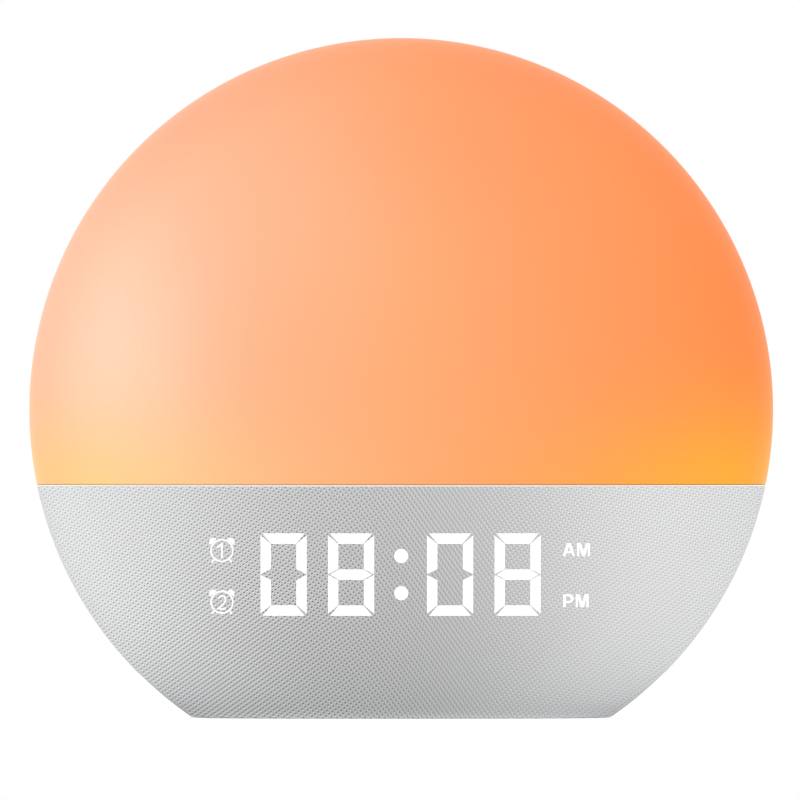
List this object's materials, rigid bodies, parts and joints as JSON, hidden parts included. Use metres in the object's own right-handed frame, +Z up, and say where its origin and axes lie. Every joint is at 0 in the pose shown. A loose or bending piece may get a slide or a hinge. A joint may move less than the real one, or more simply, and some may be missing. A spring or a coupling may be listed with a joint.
{
  "type": "sunrise alarm clock",
  "caption": "Round table clock, flat underneath: a glowing dome over a woven cloth front with a lit time display, and keys, speaker, cell cover and power socket behind.",
  "frame": {"origin": "middle of the resting face, halfway between the front and the back", "axes": "+Z up; the display faces -Y; +X is on the right of someone facing the display"},
  "size_m": [0.18, 0.08, 0.1645],
  "materials": {
    "dome": "frosted diffuser, lit warm orange",
    "cloth": "plain-woven grey speaker cloth",
    "white_plastic": "fine-grained moulded white plastic",
    "light_plastic": "smooth white reflector plastic",
    "dark_plastic": "black moulded plastic",
    "clear_plastic": "milky lens plastic",
    "key_plastic": "pale grey key caps, satin",
    "pad_rubber": "grey silicone rubber",
    "soft_rubber": "black rubber and foam",
    "board_green": "green solder mask",
    "board_white": "white solder mask",
    "lamp": "phosphor lamp packages",
    "screw_steel": "plated steel screws",
    "steel": "pressed plated steel",
    "chip_black": "moulded chip packages",
    "capacitor": "aluminium cans",
    "paper_cone": "pressed paper cone",
    "magnet": "ferrite magnet",
    "cable_white": "white sheathed cable",
    "cell_steel": "coin cell can"
  },
  "bodies": {
    "clock": {"diffuser_dome": "dome", "divider_shelf": "white_plastic", "shelf_screws": "screw_steel", "grille_cloth": "cloth", "front_panel": "white_plastic", "display_light_box": "dark_plastic", "segment_lenses": "clear_plastic", "display_leds": "lamp", "display_board": "board_green", "display_screws": "screw_steel", "light_reflector": "light_plastic", "led_board": "board_white", "led_chips": "lamp", "led_screws": "screw_steel", "base_plate": "white_plastic", "base_pad": "pad_rubber", "base_screws": "screw_steel", "rear_housing": "white_plastic", "housing_screws": "screw_steel", "key_switches": "dark_plastic", "main_board": "board_green", "board_screws": "screw_steel", "main_chip": "chip_black", "flash_chip": "chip_black", "crystal": "steel", "capacitors": "capacitor", "board_sockets": "light_plastic", "snooze_board": "board_green", "snooze_switch": "dark_plastic", "snooze_screws": "screw_steel", "speaker_gasket": "soft_rubber", "speaker_basket": "steel", "speaker_magnet": "magnet", "speaker_surround": "soft_rubber", "speaker_cone": "paper_cone", "speaker_dust_cap": "paper_cone", "speaker_screws": "screw_steel", "coin_cell": "cell_steel", "cell_holder": "dark_plastic", "cell_contacts": "steel", "usb_port": "steel", "usb_tongue": "dark_plastic", "power_board": "board_green", "power_screws": "screw_steel", "led_cable": "cable_white", "speaker_cable": "cable_white", "display_cable": "cable_white", "power_cable": "cable_white"},
    "key_alarm_1": {"key_alarm_1": "key_plastic"},
    "key_clock": {"key_clock": "key_plastic"},
    "key_alarm_2": {"key_alarm_2": "key_plastic"},
    "key_minus": {"key_minus": "key_plastic"},
    "key_light": {"key_light": "key_plastic"},
    "key_plus": {"key_plus": "key_plastic"},
    "snooze_bar": {"snooze_bar": "key_plastic"},
    "battery_cover": {"battery_cover": "white_plastic"}
  },
  "joints": [
    {"name": "press_alarm_1", "type": "slide", "parent": "clock", "child": "key_alarm_1", "axis": [0, -1, 0], "range_m": [0, 0.0008], "stiffness_N_per_m": 1200, "springref_m": -0.0006},
    {"name": "press_clock", "type": "slide", "parent": "clock", "child": "key_clock", "axis": [0, -1, 0], "range_m": [0, 0.0008], "stiffness_N_per_m": 1200, "springref_m": -0.0006},
    {"name": "press_alarm_2", "type": "slide", "parent": "clock", "child": "key_alarm_2", "axis": [0, -1, 0], "range_m": [0, 0.0008], "stiffness_N_per_m": 1200, "springref_m": -0.0006},
    {"name": "press_minus", "type": "slide", "parent": "clock", "child": "key_minus", "axis": [0, -1, 0], "range_m": [0, 0.0008], "stiffness_N_per_m": 1200, "springref_m": -0.0006},
    {"name": "press_light", "type": "slide", "parent": "clock", "child": "key_light", "axis": [0, -1, 0], "range_m": [0, 0.0008], "stiffness_N_per_m": 1200, "springref_m": -0.0006},
    {"name": "press_plus", "type": "slide", "parent": "clock", "child": "key_plus", "axis": [0, -1, 0], "range_m": [0, 0.0008], "stiffness_N_per_m": 1200, "springref_m": -0.0006},
    {"name": "press_snooze", "type": "slide", "parent": "clock", "child": "snooze_bar", "axis": [0, -0.7071, -0.7071], "range_m": [0, 0.0008], "stiffness_N_per_m": 1200, "springref_m": -0.0006},
    {"name": "turn_battery_cover", "type": "hinge", "parent": "clock", "child": "battery_cover", "pos_m": [-0.022, 0.0387, 0.038], "axis": [0, 1, 0], "range_deg": [0, 50]}
  ]
}
